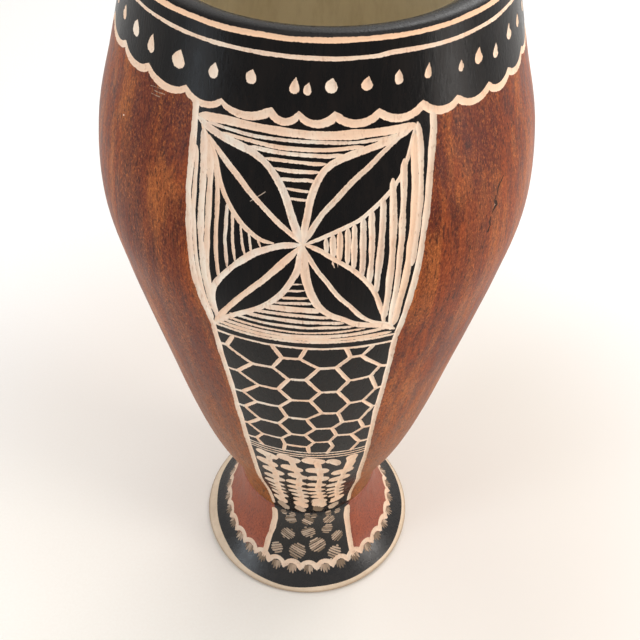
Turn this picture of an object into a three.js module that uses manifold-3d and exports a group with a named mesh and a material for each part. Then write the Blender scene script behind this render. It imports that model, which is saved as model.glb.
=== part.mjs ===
// Turned and carved wooden vase with a hollow body and a flared foot.
// Units are millimetres, +Z is up, and the origin is the centre of the underside of the foot.
// Ornament is placed by azimuth in degrees, 0 at the front (-Y) and growing towards +X, and by height.
import Module from "manifold-3d";
import * as THREE from "three";
import { ConvexGeometry } from "three/addons/geometries/ConvexGeometry.js";
import { mergeVertices } from "three/addons/utils/BufferGeometryUtils.js";

// Driving dimensions
const HEIGHT = 284.8;
const SHOULDER_RADIUS = 69.8;
const SHOULDER_HEIGHT = 211;
const MOUTH_RADIUS = 43.7;
const LIP_RADIUS = 54;
const WAIST_RADIUS = 31;
const WAIST_HEIGHT = 41;
const FOOT_RADIUS = 49.2;
const WALL = 7.8;
const CAVITY_FLOOR = 84;
const TENON_RADIUS = 14;
const TENON_LENGTH = 24;
const GLUE_GAP = 0.3;
const SEAM_CHAMFER = 0.3;
const RING_WIDTH = 1.2;
const RING_DEPTH = 0.5;
const RING_HEIGHTS = [279.6, 283.1];
const CUT_DEPTH = 0.6;
const CUT_OVERSHOOT = 0.4;
const SCALLOP_WIDTH = 2.4;
const BORDER_WIDTH = 2.2;
const PETAL_WIDTH = 2;
const NET_WIDTH = 1.7;
const FACETS = 64;
const BACK = 180;

// Collar: the places of the visible cusps of the scalloped line, and the rest at an even pitch
const FRONT_CUSPS = [-62.6, -49, -34.8, -24.2, -11.4, -4.5, 4.4, 15, 26.6, 37.2, 48.9, 59.2, 70.7];
const BACK_CUSPS = Array.from({ length: 18 }, (_, i) => 82 + 11.7 * i);
const CUSP_HEIGHT = 266.4;
const LOBE_SAG = 2.1;
const LOBE_STEPS = 4;

// Borders of the carved panel, from the collar down to the foot
const LEFT_BORDER = [
  [-31.2, 264], [-30.9, 250], [-30.2, 235], [-29, 217], [-26.9, 203], [-25.7, 190], [-25.2, 160], [-25.5, 130],
  [-25.6, 102], [-26.6, 87], [-28.6, 74], [-31, 62], [-31.2, 52], [-29, 43.5],
];
const RIGHT_BORDER = [
  [29.5, 264.5], [28.1, 251.3], [26.3, 238.8], [24.7, 223.8], [23.1, 209.4], [22, 195], [22.3, 175], [22.8, 160],
  [23.9, 130], [25.6, 104], [26.6, 90], [29, 80], [32, 70], [35.6, 60], [37, 52], [36.4, 43.5],
];
const FOOT_LEFT_BORDER = [[-28, 38.5], [-27.4, 33], [-28.1, 27], [-29.8, 18], [-30.3, 10.5]];
const FOOT_RIGHT_BORDER = [[35.6, 38.5], [35.2, 32], [35.3, 24], [34.6, 16], [33.8, 10.5]];

// The rosette: both edges and the midrib of each of its four petals
const PETAL_LINES = [
  [[-30.4, 260.8], [-21, 257.3], [-15.5, 255.8], [-12, 253.7], [-7.2, 246.6], [-4.2, 237.5], [-2.6, 233]],
  [[-28.9, 259.2], [-24.7, 253], [-22.4, 246], [-17.4, 237.5], [-12, 232.9], [-2.6, 232.8]],
  [[-26.6, 257.2], [-17.5, 248.2], [-9, 239.5], [-2.6, 233]],
  [[23.8, 261.3], [12.5, 257.9], [4.5, 255.1], [0.1, 249.4], [-1.9, 240], [-2.6, 233.4]],
  [[24.3, 261.9], [21.9, 253.8], [17.2, 246.2], [9.8, 239.7], [-2.4, 232.8]],
  [[21, 260.2], [12.5, 253.5], [4.8, 245.7], [-2.4, 233.2]],
  [[-2.6, 232.9], [-11.1, 230.1], [-17.5, 223.9], [-22.2, 216.5], [-24.3, 207.5], [-23.8, 198.5]],
  [[-2.8, 232.6], [-5, 220.8], [-9.6, 212.4], [-16.4, 205.7], [-24.6, 196.2]],
  [[-2.6, 232.8], [-11.1, 220.5], [-18.1, 210.1], [-25, 196.4]],
  [[-2.5, 232.8], [-1.2, 220], [3.9, 208.5], [10.1, 203.8], [20.6, 197.8]],
  [[-2.3, 233], [7.8, 225.8], [13.9, 216.4], [17.7, 201.5]],
  [[-2.6, 232.8], [3.1, 220.9], [11.3, 207.1], [19.5, 200.6]],
];
const PANEL_LINES = [
  [[-25.6, 195.6], [-12, 195.2], [0, 195.1], [21.6, 194.9]],
  [[-25.6, 192.1], [-12, 192], [0, 191.6], [21.8, 191.1]],
  [[-25.3, 117.5], [0, 116], [24.8, 114.6]],
];

// The net under the rosette: upright zigzags, joined by short bars from node to node
const NET_ZIGZAGS = [
  [
    [-20.8, 191.6], [-23, 185.3], [-16.4, 178.6], [-21.4, 171.2], [-15.6, 165.3], [-21.5, 157.8], [-17.5, 153],
    [-22.3, 146.7], [-17.5, 140.3], [-22.8, 134], [-17.8, 128.5], [-20.8, 123.5], [-18.5, 117.5],
  ],
  [
    [-10, 191.6], [-7.8, 185.3], [-10.5, 178.9], [-6.3, 172.4], [-9.5, 165.3], [-5.8, 158.9], [-9.8, 153.1],
    [-7.5, 146], [-10.8, 140.3], [-6.8, 133.1], [-10.3, 128.5], [-9.3, 123.9], [-10, 117],
  ],
  [
    [-1.5, 191.4], [-3, 185.6], [2.3, 180.3], [-1.4, 173], [3, 164.9], [0, 159.2], [3.9, 150.3], [-1, 145.5],
    [1.9, 138.1], [-1.4, 133], [1.9, 127.1], [-0.3, 123.1], [0, 116],
  ],
  [
    [9, 190.9], [10.3, 186], [6.9, 180.5], [11, 171.5], [8.2, 164.9], [12.4, 156], [9.4, 149.4], [11.4, 142.2],
    [7.9, 138], [9.9, 132.2], [7.8, 127.3], [9.3, 123.1], [7.5, 115.5],
  ],
  [
    [15.8, 190.6], [13.3, 186], [19.5, 177.8], [17.4, 172.3], [20.4, 163.1], [16.9, 156], [21.1, 149.6],
    [17.4, 141.6], [20, 134.6], [15.8, 130.9], [20, 123.1], [17.3, 115.2],
  ],
];
// First and last joined node of each space between two zigzags, and of the spaces beside the borders
const NET_JOINS = [[2, 10], [1, 11], [2, 10], [1, 9]];
const LEFT_JOINS = [1, 11];
const RIGHT_JOINS = [2, 10];
const LEFT_EDGE_AZIMUTH = -25.4;
const RIGHT_EDGE_AZIMUTH = 23;

const manifold = await Module();
manifold.setup();

// A point of a turned outline: radius first, then height.
function at(radius, height) {
  return new THREE.Vector2(radius, height);
}

// A smooth run through the stations, with the given number of steps between neighbours.
function smooth(stations, steps) {
  return new THREE.SplineCurve(stations).getPoints((stations.length - 1) * steps);
}

// Height where a smooth run crosses, as its radius.
function radiusAt(run, height) {
  for (let i = 1; i < run.length; i += 1) {
    const low = run[i - 1];
    const high = run[i];
    if (height >= low.y && height <= high.y) {
      return THREE.MathUtils.mapLinear(height, low.y, high.y, low.x, high.x);
    }
  }
  throw new Error(`no outline at height ${height}`);
}

// The outside of the body, from the waist up to the outer edge of the lip.
function bodyOutside() {
  const shoulder = at(66.5, 187);
  const belly = smooth(
    [
      at(WAIST_RADIUS, WAIST_HEIGHT + GLUE_GAP + SEAM_CHAMFER),
      at(31.6, 50),
      at(34.3, 59.5),
      at(38.7, 70),
      at(43.4, 82),
      at(47.7, 96.5),
      at(52.2, 115.5),
      at(57, 139),
      at(61.9, 163),
      shoulder,
    ],
    1,
  );
  const crown = smooth(
    [
      shoulder,
      at(SHOULDER_RADIUS, SHOULDER_HEIGHT),
      at(67.4, 235),
      at(61.1, 256.5),
      at(56.3, 273),
      at(LIP_RADIUS, HEIGHT - 0.9),
    ],
    2,
  );
  return [...belly, ...crown.slice(1)];
}

// The hollow, from the inner edge of the lip down to the centre of its floor.
function bodyInside() {
  const run = smooth(
    [
      at(MOUTH_RADIUS, HEIGHT - 4),
      at(46.9, 268),
      at(55.6, 246),
      at(SHOULDER_RADIUS - WALL, SHOULDER_HEIGHT + 4),
      at(58.6, 184),
      at(51.1, 147),
      at(45, 112),
      at(38, 94),
      at(22.6, CAVITY_FLOOR + 1.2),
    ],
    1,
  );
  return [...run, at(0, CAVITY_FLOOR)];
}

// A V-shaped turned groove centred at one height of the outside.
function ringGroove(outside, height) {
  const half = RING_WIDTH / 2;
  const radius = radiusAt(outside, height);
  return [
    at(radiusAt(outside, height - half), height - half),
    at(radius - RING_DEPTH, height),
    at(radiusAt(outside, height + half), height + half),
  ];
}

// The outside again, with each ring groove put in place of the stations that it covers.
function withGrooves(outside, heights) {
  const grooves = heights.map((height) => ringGroove(outside, height));
  const kept = outside.filter((point) =>
    heights.every((height) => Math.abs(point.y - height) > RING_WIDTH / 2),
  );
  return [...kept, ...grooves.flat()].sort((a, b) => a.y - b.y);
}

// The blind socket in the underside of the body, which takes the tenon of the foot.
function socket() {
  const radius = TENON_RADIUS + GLUE_GAP;
  const top = WAIST_HEIGHT + TENON_LENGTH + GLUE_GAP;
  return [at(0, top), at(radius, top), at(radius, WAIST_HEIGHT + GLUE_GAP)];
}

// The rounded top of the lip, from its outer edge in to the mouth.
function lip() {
  return [at(LIP_RADIUS - 0.7, HEIGHT - 0.2), at(LIP_RADIUS - 2.2, HEIGHT), at(MOUTH_RADIUS + 2, HEIGHT - 1.6)];
}

// The flare of the foot, from the rounded base edge up to the seam.
function footFlare() {
  return smooth(
    [
      at(FOOT_RADIUS, 1.6),
      at(46.4, 3.6),
      at(43.2, 6),
      at(40.4, 8.6),
      at(36.9, 14),
      at(33.9, 21.5),
      at(31.9, 30),
      at(WAIST_RADIUS, WAIST_HEIGHT - SEAM_CHAMFER),
    ],
    1,
  );
}

// The foot's outline, with the tenon on top.
function footOutline() {
  return [
    at(0, 0),
    at(FOOT_RADIUS - 1.6, 0),
    at(FOOT_RADIUS - 0.4, 0.6),
    ...footFlare(),
    at(WAIST_RADIUS - SEAM_CHAMFER, WAIST_HEIGHT),
    at(TENON_RADIUS, WAIST_HEIGHT),
    at(TENON_RADIUS, WAIST_HEIGHT + TENON_LENGTH - 1),
    at(TENON_RADIUS - 1, WAIST_HEIGHT + TENON_LENGTH),
    at(0, WAIST_HEIGHT + TENON_LENGTH),
  ];
}

// A closed outline turned about the vertical axis.
function turned(outline) {
  return new THREE.LatheGeometry(outline, FACETS).rotateX(Math.PI / 2);
}

// A turned skin on which ornament is laid out.
class Skin {
  constructor(run) {
    this.run = run;
    this.bottom = run[0].y;
    this.top = run[run.length - 1].y;
  }

  place(azimuth, height) {
    const angle = THREE.MathUtils.degToRad(azimuth);
    const radius = radiusAt(this.run, THREE.MathUtils.clamp(height, this.bottom, this.top));
    return new THREE.Vector3(radius * Math.sin(angle), -radius * Math.cos(angle), height);
  }

  // Outward direction, from the skin's slope over a short stretch.
  normal(azimuth, height) {
    const angle = THREE.MathUtils.degToRad(azimuth);
    const up = this.place(azimuth, height + 1).sub(this.place(azimuth, height - 1));
    const round = new THREE.Vector3(Math.cos(angle), Math.sin(angle), 0);
    return round.cross(up).normalize();
  }
}

// A closed geometry as a solid for joining and cutting.
function solid(geometry) {
  const bare = geometry.clone();
  bare.deleteAttribute("normal");
  bare.deleteAttribute("uv");
  const merged = mergeVertices(bare, 1e-4);
  return new manifold.Manifold(
    new manifold.Mesh({
      numProp: 3,
      vertProperties: new Float32Array(merged.attributes.position.array),
      triVerts: new Uint32Array(merged.index.array),
    }),
  );
}

// A solid back as a geometry.
function geometryOf(cut) {
  const mesh = cut.getMesh();
  const geometry = new THREE.BufferGeometry();
  geometry.setAttribute("position", new THREE.BufferAttribute(mesh.vertProperties, 3));
  geometry.setIndex(new THREE.BufferAttribute(mesh.triVerts, 1));
  geometry.computeVertexNormals();
  return geometry;
}

// The corners of a gouge standing at one place: its point under the skin and a square above it.
function gouge(skin, place, along, width) {
  const spot = skin.place(...place);
  const out = skin.normal(...place);
  const reach = (width / 2) * (1 + CUT_OVERSHOOT / CUT_DEPTH);
  const across = new THREE.Vector3().crossVectors(out, along).normalize();
  const ahead = new THREE.Vector3().crossVectors(across, out);
  const above = spot.clone().addScaledVector(out, CUT_OVERSHOOT);
  const corners = [across, ahead].flatMap((side) => [
    above.clone().addScaledVector(side, reach),
    above.clone().addScaledVector(side, -reach),
  ]);
  return [spot.addScaledVector(out, -CUT_DEPTH), ...corners];
}

// The solids that a gouge sweeps along a line of places, one for each straight run.
function sweep(skin, line, width) {
  const spots = line.map((place) => skin.place(...place));
  const tips = line.map((place, i) => {
    const before = spots[Math.max(i - 1, 0)];
    const after = spots[Math.min(i + 1, spots.length - 1)];
    return gouge(skin, place, after.clone().sub(before).normalize(), width);
  });
  return tips.slice(1).map((tip, i) => solid(new ConvexGeometry([...tips[i], ...tip])));
}

// The scalloped line: lobes that hang between the cusps, right round the collar.
function scallopLine() {
  const cusps = [...FRONT_CUSPS, ...BACK_CUSPS, FRONT_CUSPS[0] + 360];
  return cusps.slice(1).flatMap((cusp, i) =>
    Array.from({ length: LOBE_STEPS + 1 }, (_, step) => {
      const share = step / LOBE_STEPS;
      const sag = LOBE_SAG * (1 - (2 * share - 1) ** 2);
      return [THREE.MathUtils.lerp(cusps[i], cusp, share), CUSP_HEIGHT - sag];
    }).slice(i ? 1 : 0),
  );
}

// Every second number from the first to the last.
function everySecond([first, last]) {
  return Array.from({ length: (last - first) / 2 + 1 }, (_, i) => first + 2 * i);
}

// The short bars of the net, between neighbouring zigzags and out to the borders.
function netBars() {
  const bars = NET_JOINS.flatMap((span, i) =>
    everySecond(span).map((node) => [NET_ZIGZAGS[i][node], NET_ZIGZAGS[i + 1][node]]),
  );
  const leftmost = NET_ZIGZAGS[0];
  const rightmost = NET_ZIGZAGS[NET_ZIGZAGS.length - 1];
  const fromLeft = everySecond(LEFT_JOINS).map((node) => [[LEFT_EDGE_AZIMUTH, leftmost[node][1]], leftmost[node]]);
  const toRight = everySecond(RIGHT_JOINS).map((node) => [rightmost[node], [RIGHT_EDGE_AZIMUTH, rightmost[node][1]]]);
  return [...bars, ...fromLeft, ...toRight];
}

// Each line and its copy on the opposite side.
function bothSides(lines) {
  return [0, BACK].flatMap((turn) => lines.map((line) => line.map(([azimuth, height]) => [azimuth + turn, height])));
}

// A turned geometry with every swept line cut into it.
function carved(geometry, skin, cuts) {
  const tools = cuts.flatMap(({ lines, width }) => lines.flatMap((line) => sweep(skin, line, width)));
  return geometryOf(solid(geometry).subtract(tools.reduce((all, tool) => all.add(tool))));
}

function makeBody() {
  const outside = bodyOutside();
  const underside = at(WAIST_RADIUS - SEAM_CHAMFER, WAIST_HEIGHT + GLUE_GAP);
  const outline = [...socket(), underside, ...withGrooves(outside, RING_HEIGHTS), ...lip(), ...bodyInside()];
  const geometry = carved(turned(outline), new Skin(outside), [
    { lines: [scallopLine()], width: SCALLOP_WIDTH },
    { lines: bothSides([LEFT_BORDER, RIGHT_BORDER]), width: BORDER_WIDTH },
    { lines: bothSides(PETAL_LINES), width: PETAL_WIDTH },
    { lines: bothSides(PANEL_LINES), width: NET_WIDTH },
    { lines: [...NET_ZIGZAGS, ...netBars()], width: NET_WIDTH },
  ]);
  const material = new THREE.MeshStandardMaterial({ color: 0x7a3a22, roughness: 0.45, metalness: 0 });
  const mesh = new THREE.Mesh(geometry, material);
  mesh.name = "body";
  return mesh;
}

function makeFoot() {
  const geometry = carved(turned(footOutline()), new Skin(footFlare()), [
    { lines: bothSides([FOOT_LEFT_BORDER, FOOT_RIGHT_BORDER]), width: BORDER_WIDTH },
  ]);
  const material = new THREE.MeshStandardMaterial({ color: 0x8a4a30, roughness: 0.5, metalness: 0 });
  const mesh = new THREE.Mesh(geometry, material);
  mesh.name = "foot";
  return mesh;
}

const vase = new THREE.Group();
vase.add(makeBody(), makeFoot());

export default vase;
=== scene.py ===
"""A turned and carved wooden vase: a hollow body and a flared foot, with lines cut to the pale wood.

Ornament is given in surface coordinates: azimuth in degrees, 0 at the front and growing towards +X,
and height in millimetres. Lengths are millimetres until a mesh is written, which is in metres.
"""
import math
from dataclasses import dataclass, replace

import bpy
import numpy as np
from mathutils import Matrix, Vector
from mathutils.geometry import delaunay_2d_cdt


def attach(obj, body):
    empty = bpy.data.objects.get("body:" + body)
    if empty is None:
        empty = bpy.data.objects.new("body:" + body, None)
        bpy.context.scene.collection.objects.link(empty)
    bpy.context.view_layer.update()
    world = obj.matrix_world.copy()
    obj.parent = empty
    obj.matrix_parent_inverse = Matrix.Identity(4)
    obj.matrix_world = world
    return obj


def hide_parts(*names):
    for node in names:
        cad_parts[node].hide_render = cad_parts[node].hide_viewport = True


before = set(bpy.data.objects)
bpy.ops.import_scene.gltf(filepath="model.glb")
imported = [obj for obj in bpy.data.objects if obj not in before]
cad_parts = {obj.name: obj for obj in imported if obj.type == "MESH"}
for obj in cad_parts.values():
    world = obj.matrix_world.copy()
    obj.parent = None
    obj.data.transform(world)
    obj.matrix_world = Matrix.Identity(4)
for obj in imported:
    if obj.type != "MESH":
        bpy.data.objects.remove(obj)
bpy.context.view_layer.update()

MM = 0.001
SEED = 7
SEAM_AZIMUTH = -90.0
FULL_TURN = 360.0
SEAM_END = SEAM_AZIMUTH + FULL_TURN
BACK = 180.0
ROUND = np.linspace(SEAM_AZIMUTH, SEAM_END, 121)
FAR = 9.0
TINY = 1e-12

# Outlines, as radius and height

TENON_RADIUS = 14.0
TENON_TOP = 65.0
TENON_CHAMFER = 1.0
SOCKET_RADIUS = 14.3
SEAM_RADIUS = 30.7
SEAM_HEIGHT = 41.0
SEAM_GAP = 0.1
SEAM_EDGE = 0.7
GLUE_GAP = 0.3
SKIN_STEP = 0.5
HOLLOW_STEP = 4
NORMAL_REACH = 0.4
BODY_OUTSIDE = [
    (31, 41.5), (31.6, 50), (34.3, 59.5), (38.7, 70), (43.4, 82), (47.7, 96.5), (52.2, 115.5), (57, 139),
    (61.9, 163), (66.5, 187), (69.75, 211), (67.4, 235), (61.1, 256.5), (56.3, 273), (54.8, 279.5),
    (54.2, 282.5), (54, 283.7), (53.3, 284.5), (51.8, 284.8),
]
LIP_INNER = [(49, 284.4), (46.9, 283.7), (44.6, 282.2)]
BODY_INSIDE = [
    (43.7, 280.8), (46.9, 268), (55.6, 246), (62, 215), (58.6, 184), (51.1, 147), (45, 112), (38, 94),
    (22.6, 85.2), (0, 84),
]
FOOT_BASE = [(0, 0), (47.6, 0), (48.7, 0.7)]
FOOT_FLARE = [
    (49.2, 1.6), (46.4, 3.6), (43.2, 6), (40.4, 8.6), (36.9, 14), (33.9, 21.5), (31.9, 30), (31, 40.8),
]


def smooth(points, step):
    """A Catmull-Rom curve through the points, sampled about every step."""
    p = np.array(points, float)
    p = np.vstack([2 * p[0] - p[1], p, 2 * p[-1] - p[-2]])
    out = []
    for a, b, c, d in zip(p[:-3], p[1:-2], p[2:-1], p[3:]):
        count = max(1, int(round(np.linalg.norm((c - b)[:2]) / step)))
        t = np.linspace(0, 1, count, endpoint=False)[:, None]
        cubic = 2 * b + (c - a) * t + (2 * a - 5 * b + 4 * c - d) * t**2 + (3 * b - a - 3 * c + d) * t**3
        out.append(cubic / 2)
    out.append(p[-2:-1])
    return np.vstack(out)


class Outline:
    """A turned outline measured along its length, with its carved stretch between two plain ones."""

    def __init__(self, before, carved, after):
        self.points = np.vstack([before, carved, after])
        steps = np.linalg.norm(np.diff(self.points, axis=0), axis=1)
        self.length = np.concatenate([[0], np.cumsum(steps)])
        first, last = len(before), len(before) + len(carved)
        self.last = last
        self.carved_z = carved[:, 1]
        self.carved_length = self.length[first:last]
        self.start, self.end = self.carved_length[0], self.carved_length[-1]
        self.plain_lengths = np.concatenate([self.length[:first], self.length[last:]])

    def along(self, z):
        """Length along the outline at a height of the carved stretch."""
        return np.interp(z, self.carved_z, self.carved_length)

    def place(self, length):
        """Radius and height at a length along the outline."""
        return [np.interp(length, self.length, self.points[:, i]) for i in (0, 1)]

    def normal(self, length):
        """The outward direction in the turning plane, taken over a short stretch."""
        ahead = self.place(np.minimum(length + NORMAL_REACH, self.length[-1]))
        behind = self.place(np.maximum(length - NORMAL_REACH, 0))
        dr, dz = ahead[0] - behind[0], ahead[1] - behind[1]
        size = np.maximum(np.hypot(dr, dz), TINY)
        return dz / size, -dr / size

    def scale(self, length):
        """Millimetres per degree of azimuth round the skin."""
        return self.place(length)[0] * math.pi / 180


def unit(vectors):
    return vectors / np.maximum(np.linalg.norm(vectors, axis=1), TINY)[:, None]


BODY = Outline(
    [
        (0, TENON_TOP + GLUE_GAP),
        (SOCKET_RADIUS, TENON_TOP + GLUE_GAP),
        (SOCKET_RADIUS, SEAM_HEIGHT + SEAM_GAP),
        (SEAM_RADIUS, SEAM_HEIGHT + SEAM_GAP),
    ],
    smooth(BODY_OUTSIDE, SKIN_STEP),
    np.vstack([LIP_INNER, smooth(BODY_INSIDE, HOLLOW_STEP)]),
)
FOOT = Outline(
    FOOT_BASE,
    smooth(FOOT_FLARE, SKIN_STEP),
    [
        (SEAM_RADIUS, SEAM_HEIGHT),
        (TENON_RADIUS, SEAM_HEIGHT),
        (TENON_RADIUS, TENON_TOP - TENON_CHAMFER),
        (TENON_RADIUS - TENON_CHAMFER, TENON_TOP),
        (0, TENON_TOP),
    ],
)
HOLLOW_START = float(BODY.length[BODY.last + 1])


# Cut strokes


@dataclass
class Stroke:
    """A gouge cut: a centre line over the surface, its width, how far its ends taper, and its tone."""

    points: list
    width: object
    taper: tuple = (0, 0)
    tone: float = 0.0
    curved: bool = True
    ring: bool = False
    depth: float = 1.0

    def turned(self, angle):
        return replace(self, points=[(azimuth + angle, z) for azimuth, z in self.points])


def cuts(lines, **shape):
    """A stroke for each width and the points of its line."""
    return [Stroke(line, width, **shape) for width, *line in lines]


# Collar: two turned rings, a row of drops and a scalloped line

# Rings, as height, width, tone and slip
RINGS = [(283.9, 1.45, -0.7, 0), (279.7, 1.15, -0.2, 0.5)]
SLIP_AZIMUTH = 21
SLIP_START = 16
SLIP_REACH = 9
CUSPS = [-62.6, -49, -34.8, -24.2, -11.4, -4.5, 4.4, 15, 26.6, 37.2, 48.9, 59.2, 70.7]
CUSP_DROP = {37.2: 1.4, 48.9: 2.3, 59.2: 2.6, 70.7: 2.6}
CUSP_HEIGHT = 266.4
HIDDEN_CUSPS = [82 + 11.7 * i for i in range(18)]
HIDDEN_CUSP_DROP = 0.6
FRONT_REACH = 75
LOBE_SAG = 2.1
LOBE_STEPS = 8
LOBE_SHAPE = 0.8
SCALLOP_WIDTH = 2.1
SEAM_MARGIN = 0.3
# Drops, as azimuth, height of the middle, width and height
DROPS = [
    (-66.6, 272.9, 3, 4.2), (-57.5, 272.7, 3.6, 4.8), (-49.2, 272.3, 2.9, 5), (-38.2, 272.3, 4, 4.9),
    (-27.1, 272.8, 2.8, 4.2), (-16.9, 273.4, 3.2, 4.1), (-5.9, 272.8, 2.7, 4.3), (-2.7, 272.2, 2.3, 3.4),
    (3.1, 273, 3.4, 4), (12, 273.3, 3, 3.7), (20.1, 273.8, 2.7, 4), (28.4, 273.9, 2.3, 4),
    (38.8, 272.4, 2, 3), (45.6, 272.7, 3.1, 4.3), (53.2, 271.2, 2.9, 4), (61.6, 272.9, 3, 4.2),
    (69.4, 272.4, 3, 4),
]
HIDDEN_DROP_AZIMUTHS = [78.7 + 9.33 * i for i in range(23)]
HIDDEN_DROP = (272.6, 3, 4.1)
DROP_FOOT = 0.6
DROP_LEANS = (0, 0.1, 0.4)
DROP_MIDDLE = 0.45
DROP_WIDTHS = (1, 0.74, 0.1)
DROP_TONE = -0.2


def scallop_line():
    """Lobes that hang between the cusps, right round the collar."""
    cusps = CUSPS + HIDDEN_CUSPS
    cusps = [cusps[-1] - FULL_TURN] + cusps
    falls = [CUSP_DROP.get(a, HIDDEN_CUSP_DROP if a > FRONT_REACH else 0) for a in cusps]
    heights = [CUSP_HEIGHT - fall for fall in falls]
    points = []
    for a, b, low, high in zip(cusps[:-1], cusps[1:], heights[:-1], heights[1:]):
        for t in np.linspace(0, 1, LOBE_STEPS, endpoint=False):
            sag = LOBE_SAG * (1 - (2 * t - 1) ** 2) ** LOBE_SHAPE
            points.append((a + (b - a) * t, low + (high - low) * t - sag))
    return points


def whole_turn(points):
    """A line that covers about a turn, cut and closed to run from the seam once round to the seam."""
    azimuth, z = np.array(points).T
    azimuth = np.concatenate([azimuth - FULL_TURN, azimuth, azimuth + FULL_TURN])
    z = np.tile(z, 3)
    order = np.argsort(azimuth, kind="stable")
    azimuth, z = azimuth[order], z[order]
    inside = (azimuth > SEAM_AZIMUTH + SEAM_MARGIN) & (azimuth < SEAM_END - SEAM_MARGIN)
    joint = np.interp(SEAM_AZIMUTH, azimuth, z)
    return [(SEAM_AZIMUTH, joint), *zip(azimuth[inside], z[inside]), (SEAM_END, joint)]


def turned_ring(height, width, tone, slip):
    """A turned ring, which slips upwards for a short way right of the front."""
    swell = [float(np.exp(-(((a - SLIP_AZIMUTH) / SLIP_REACH) ** 2)) * (a > SLIP_START)) for a in ROUND]
    line = [(a, height + slip * rise) for a, rise in zip(ROUND, swell)]
    return Stroke(line, width, ring=True, curved=False, tone=tone)


def drop(azimuth, z, width, height):
    """A cut that narrows upwards to a point."""
    low, high = z - height / 2 + width * DROP_FOOT, z + height / 2
    heights = (low, low + (high - low) * DROP_MIDDLE, high)
    line = [(azimuth + lean, level) for lean, level in zip(DROP_LEANS, heights)]
    return Stroke(line, [width * share for share in DROP_WIDTHS], tone=DROP_TONE)


def hidden_drops():
    """Evenly spaced drops on the far side."""
    azimuths = [(a - SEAM_AZIMUTH) % FULL_TURN + SEAM_AZIMUTH for a in HIDDEN_DROP_AZIMUTHS]
    return [(azimuth, *HIDDEN_DROP) for azimuth in azimuths]


SCALLOPS = whole_turn(scallop_line())


def collar():
    strokes = [turned_ring(*ring) for ring in RINGS]
    strokes.append(Stroke(SCALLOPS, SCALLOP_WIDTH, ring=True, curved=False))
    return strokes + [drop(*place) for place in DROPS + hidden_drops()]


# Panel on the body: borders, four-petal rosette with hatched sectors, net, and comb marks

LEFT_BORDER = [
    (-31.2, 264), (-31, 260), (-30.9, 255), (-30.6, 245), (-30.2, 235), (-29.7, 225), (-29, 217),
    (-28, 210), (-26.9, 203), (-25.9, 196), (-25.7, 190), (-25.5, 175), (-25.2, 160), (-25.4, 145),
    (-25.5, 130), (-25.5, 115), (-25.6, 102), (-26.6, 87), (-28.6, 74), (-31, 62), (-31.2, 52), (-29, 44),
    (-28, 38), (-27.2, 33), (-28.1, 27), (-29.8, 18), (-30.3, 9.5),
]
RIGHT_BORDER = [
    (29.5, 264.5), (29.2, 260), (28.9, 257.5), (28.1, 251.3), (27.2, 245), (26.3, 238.8), (25.4, 231.3),
    (24.7, 223.8), (23.9, 216.9), (23.1, 209.4), (22.3, 201.3), (22, 195), (21.8, 190), (22.3, 175),
    (22.8, 160), (23.1, 145), (23.9, 130), (24.9, 115), (25.6, 104), (26.6, 90), (29, 80), (32, 70),
    (35.6, 60), (37, 52), (36.4, 44), (35.6, 38), (35.2, 32), (35.3, 24), (34.6, 16), (33.8, 9.5),
]
# Lowest and highest point of the borders, and their width
BODY_PANEL = (41, 266, 2.1)
FOOT_PANEL = (9, 40, 2.9)

ARC_TAPER = (3, 3)
MIDRIB_TAPER = (5, 3)
HATCH_TAPER = (1.5, 1.5)
PETAL_ARCS = [
    (2.1, (-30.4, 260.8), (-25.5, 258.7), (-21, 257.3), (-15.5, 255.8), (-12, 253.7), (-9.3, 250.6),
      (-7.2, 246.6), (-5.6, 242.2), (-4.2, 237.5), (-3, 233.4)),
    (1.5, (-28.9, 259.2), (-24.7, 253), (-22.4, 246), (-20, 241.2), (-17.4, 237.5), (-14.8, 234.9),
      (-12, 232.9), (-9.1, 232.5)),
    (1.9, (23.8, 261.3), (19.5, 259.8), (16.6, 259), (12.5, 257.9), (8.4, 256.7), (4.5, 255.1),
      (1.9, 252.8), (0.1, 249.4), (-1.2, 245), (-1.9, 240), (-2.6, 233.4)),
    (1.25, (24.3, 261.9), (23.4, 258.1), (21.9, 253.8), (20.1, 249.9), (17.2, 246.2), (13.6, 242.7),
      (9.8, 239.7), (5.7, 237.4), (1.9, 235.3), (-2.4, 232.8)),
    (1.9, (-2.6, 232.9), (-7.5, 232), (-11.1, 230.1), (-14.6, 227.3), (-17.5, 223.9), (-20.2, 220),
      (-22.2, 216.5), (-23.8, 212.2), (-24.3, 207.5), (-24, 202.5), (-23.8, 198.5)),
    (1.8, (-2.8, 232.6), (-3.5, 225.5), (-5, 220.8), (-6.9, 216.5), (-9.6, 212.4), (-12.8, 208.9),
      (-16.4, 205.7), (-19.3, 203.2), (-21.6, 200.8), (-24.6, 196.2)),
    (2.5, (-2.5, 232.8), (-2, 226), (-1.2, 220), (0.1, 215.4), (1.6, 211.6), (3.9, 208.5), (7.2, 206.2),
      (10.1, 203.8), (13.6, 202.3), (17.6, 200.7), (20.6, 197.8)),
    (1.5, (-2.3, 233), (1.3, 231.3), (4.8, 228.3), (7.8, 225.8), (10.1, 223.3), (12.2, 219.9),
      (13.9, 216.4), (15.4, 211.9), (16.6, 207.3), (17.7, 201.5)),
]
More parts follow.
